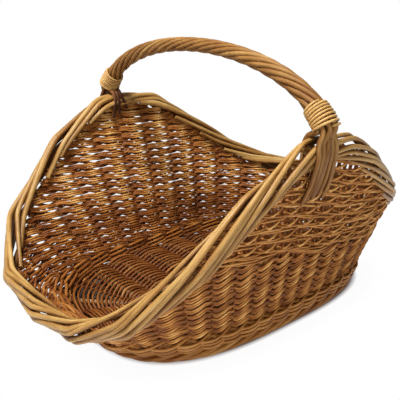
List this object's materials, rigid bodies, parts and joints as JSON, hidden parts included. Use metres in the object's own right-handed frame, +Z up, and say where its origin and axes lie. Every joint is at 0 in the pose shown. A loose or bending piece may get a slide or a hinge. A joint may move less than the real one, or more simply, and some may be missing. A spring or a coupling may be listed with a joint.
{
  "type": "wicker log basket",
  "caption": "Oval willow log basket with a low scooped front lip, flared sides, a rolled rim border and a roped bow handle across the top.",
  "frame": {"origin": "on the floor under the middle of the basket's overall length and width", "axes": "+Z up; -Y towards the low scooped lip; the handle crosses the basket along X"},
  "size_m": [0.4392, 0.587, 0.3561],
  "materials": {
    "base_sticks": "peeled buff willow sticks, satin",
    "stakes": "buff willow rods, satin",
    "weave": "buff willow weavers with light and dark rods, satin",
    "border": "honey-gold thick willow rods, soft gloss",
    "handle": "honey-brown willow rods, soft gloss",
    "lashing": "pale split willow skein, satin"
  },
  "bodies": {
    "root": {"base_cross_stick_1": "base_sticks", "base_cross_stick_2": "base_sticks", "base_cross_stick_3": "base_sticks", "base_cross_stick_4": "base_sticks", "base_cross_stick_5": "base_sticks", "base_cross_stick_6": "base_sticks", "base_long_stick_1": "base_sticks", "base_long_stick_2": "base_sticks", "base_long_stick_3": "base_sticks", "floor_weave": "weave", "foot_border": "border", "side_stake_01": "stakes", "side_stake_02": "stakes", "side_stake_03": "stakes", "side_stake_04": "stakes", "side_stake_05": "stakes", "side_stake_06": "stakes", "side_stake_07": "stakes", "side_stake_08": "stakes", "side_stake_09": "stakes", "side_stake_10": "stakes", "side_stake_11": "stakes", "side_stake_12": "stakes", "side_stake_13": "stakes", "side_stake_14": "stakes", "side_stake_15": "stakes", "side_stake_16": "stakes", "side_stake_17": "stakes", "side_stake_18": "stakes", "side_stake_19": "stakes", "side_stake_20": "stakes", "side_stake_21": "stakes", "side_stake_22": "stakes", "side_stake_23": "stakes", "side_stake_24": "stakes", "side_stake_25": "stakes", "side_stake_26": "stakes", "side_stake_27": "stakes", "side_stake_28": "stakes", "side_stake_29": "stakes", "side_stake_30": "stakes", "upsett_wale": "border", "siding_weave": "weave", "rim_border_rod_1": "border", "rim_border_rod_2": "border", "rim_border_rod_3": "border", "rim_border_rod_4": "border", "rim_border_rod_5": "border", "handle_core": "handle", "handle_roping_rod_1": "handle", "handle_roping_rod_2": "handle", "handle_roping_rod_3": "handle", "handle_roping_rod_4": "handle", "handle_roping_rod_5": "handle", "handle_roping_rod_6": "handle", "handle_roping_rod_7": "handle", "handle_roping_rod_8": "handle", "handle_lashing_right": "lashing", "handle_lashing_left": "lashing"}
  },
  "joints": []
}
